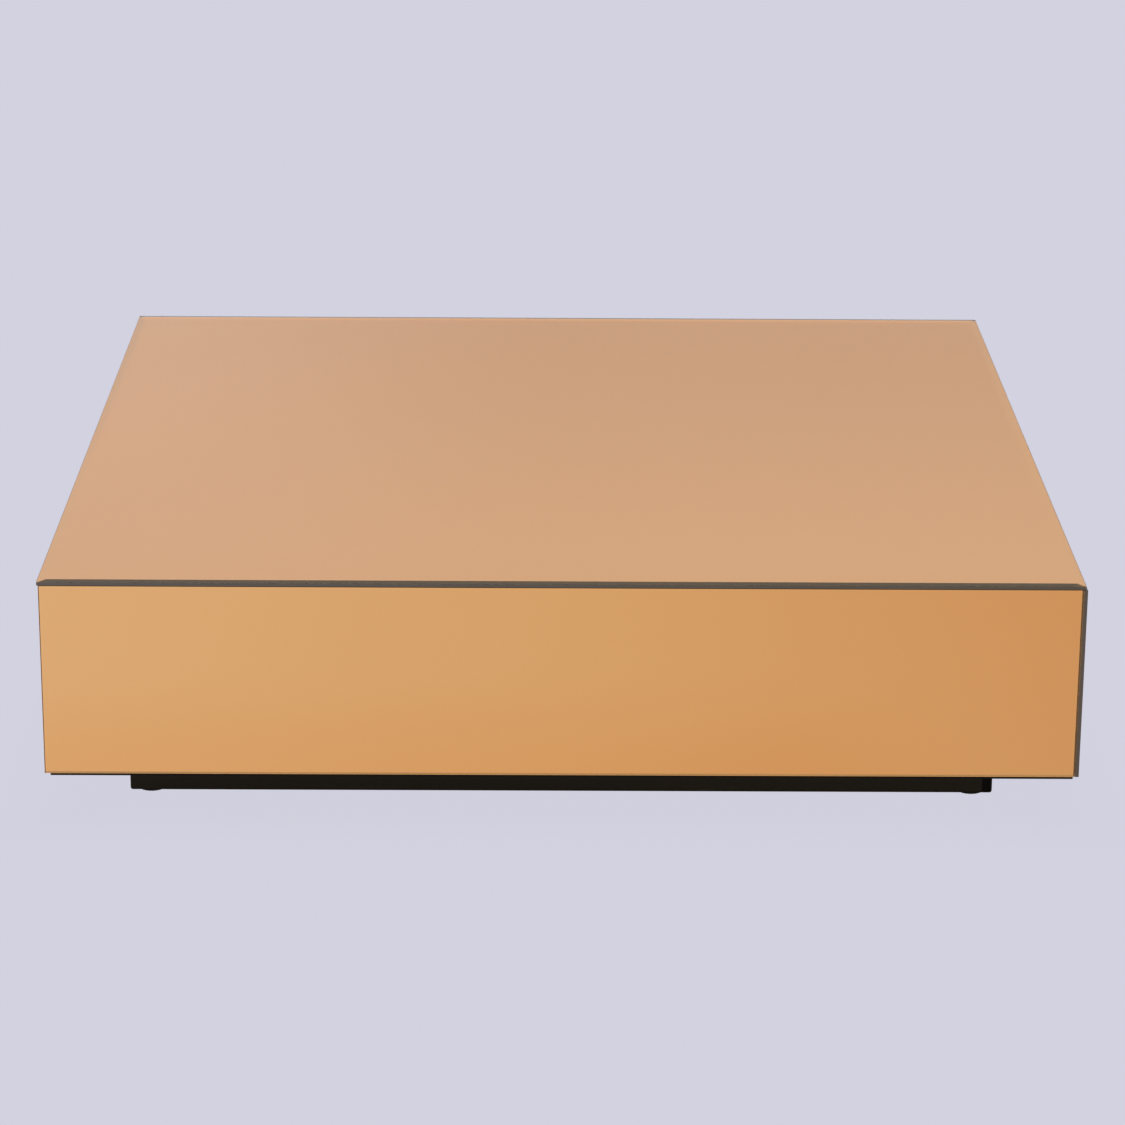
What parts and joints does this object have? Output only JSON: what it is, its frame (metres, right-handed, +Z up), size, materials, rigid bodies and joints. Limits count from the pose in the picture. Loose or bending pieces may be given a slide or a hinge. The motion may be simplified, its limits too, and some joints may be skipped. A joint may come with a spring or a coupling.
{
  "type": "mirrored coffee table",
  "caption": "Low square block coffee table clad in copper mirror glass, on a recessed black plinth with levelling feet.",
  "frame": {"origin": "on the floor, at the middle of the table's footprint", "axes": "+Z up, through the table top; -Y is the front, the side where the right-hand mirror's end shows at the right; +X to the right seen from the front"},
  "size_m": [1.0015, 1, 0.245],
  "materials": {
    "mirror_glass": "copper-tinted silvered float glass, polished face and edges",
    "safety_film": "thin woven-backed plastic film stuck to the mirror's back",
    "mirror_adhesive": "cured neutral mirror adhesive, squeezed flat",
    "carcass_board": "fibreboard with matt black stained faces and edges",
    "raw_board": "bare fibreboard",
    "pine": "sawn softwood",
    "beech": "fluted hardwood dowel",
    "zinc_steel": "bright zinc-plated steel",
    "black_lacquer": "sprayed black satin lacquer",
    "black_plastic": "moulded black nylon, fine matt texture"
  },
  "bodies": {
    "table": {"top_mirror": "mirror_glass", "front_mirror": "mirror_glass", "right_mirror": "mirror_glass", "rear_mirror": "mirror_glass", "left_mirror": "mirror_glass", "top_mirror_film": "safety_film", "front_mirror_film": "safety_film", "right_mirror_film": "safety_film", "rear_mirror_film": "safety_film", "left_mirror_film": "safety_film", "top_mirror_adhesive": "mirror_adhesive", "front_mirror_adhesive": "mirror_adhesive", "right_mirror_adhesive": "mirror_adhesive", "rear_mirror_adhesive": "mirror_adhesive", "left_mirror_adhesive": "mirror_adhesive", "top_board": "carcass_board", "bottom_board": "carcass_board", "front_board": "carcass_board", "right_board": "carcass_board", "rear_board": "carcass_board", "left_board": "carcass_board", "front_rib": "raw_board", "right_rib": "raw_board", "rear_rib": "raw_board", "left_rib": "raw_board", "front_left_glue_block": "pine", "front_right_glue_block": "pine", "rear_left_glue_block": "pine", "rear_right_glue_block": "pine", "plinth_glue_blocks": "pine", "plinth_middle_rail": "pine", "plinth_front_left_block": "pine", "plinth_front_right_block": "pine", "plinth_rear_left_block": "pine", "plinth_rear_right_block": "pine", "carcass_dowels": "beech", "carcass_screws": "zinc_steel", "plinth_screws": "zinc_steel", "front_left_foot_insert": "zinc_steel", "front_right_foot_insert": "zinc_steel", "rear_left_foot_insert": "zinc_steel", "rear_right_foot_insert": "zinc_steel", "plinth_front_board": "black_lacquer", "plinth_right_board": "black_lacquer", "plinth_rear_board": "black_lacquer", "plinth_left_board": "black_lacquer"},
    "front_left_pad": {"front_left_foot_pad": "black_plastic"},
    "front_left_stud": {"front_left_foot_stud": "zinc_steel"},
    "front_right_pad": {"front_right_foot_pad": "black_plastic"},
    "front_right_stud": {"front_right_foot_stud": "zinc_steel"},
    "rear_left_pad": {"rear_left_foot_pad": "black_plastic"},
    "rear_left_stud": {"rear_left_foot_stud": "zinc_steel"},
    "rear_right_pad": {"rear_right_foot_pad": "black_plastic"},
    "rear_right_stud": {"rear_right_foot_stud": "zinc_steel"}
  },
  "joints": [
    {"name": "front_left_foot_travel", "type": "slide", "parent": "table", "child": "front_left_pad", "axis": [0, 0, -1], "range_m": [0, 0.01]},
    {"name": "front_left_stud_turn", "type": "hinge", "parent": "front_left_pad", "child": "front_left_stud", "pos_m": [-0.406, -0.406, 0.01], "axis": [0, 0, -1], "range_deg": [0, 2880]},
    {"name": "front_right_foot_travel", "type": "slide", "parent": "table", "child": "front_right_pad", "axis": [0, 0, -1], "range_m": [0, 0.01]},
    {"name": "front_right_stud_turn", "type": "hinge", "parent": "front_right_pad", "child": "front_right_stud", "pos_m": [0.406, -0.406, 0.01], "axis": [0, 0, -1], "range_deg": [0, 2880]},
    {"name": "rear_left_foot_travel", "type": "slide", "parent": "table", "child": "rear_left_pad", "axis": [0, 0, -1], "range_m": [0, 0.01]},
    {"name": "rear_left_stud_turn", "type": "hinge", "parent": "rear_left_pad", "child": "rear_left_stud", "pos_m": [-0.406, 0.406, 0.01], "axis": [0, 0, -1], "range_deg": [0, 2880]},
    {"name": "rear_right_foot_travel", "type": "slide", "parent": "table", "child": "rear_right_pad", "axis": [0, 0, -1], "range_m": [0, 0.01]},
    {"name": "rear_right_stud_turn", "type": "hinge", "parent": "rear_right_pad", "child": "rear_right_stud", "pos_m": [0.406, 0.406, 0.01], "axis": [0, 0, -1], "range_deg": [0, 2880]}
  ],
  "couplings": [
    {"joint": "front_left_stud_turn", "follows": "front_left_foot_travel", "rad_per_m": 5026.5},
    {"joint": "front_right_stud_turn", "follows": "front_right_foot_travel", "rad_per_m": 5026.5},
    {"joint": "rear_left_stud_turn", "follows": "rear_left_foot_travel", "rad_per_m": 5026.5},
    {"joint": "rear_right_stud_turn", "follows": "rear_right_foot_travel", "rad_per_m": 5026.5}
  ]
}
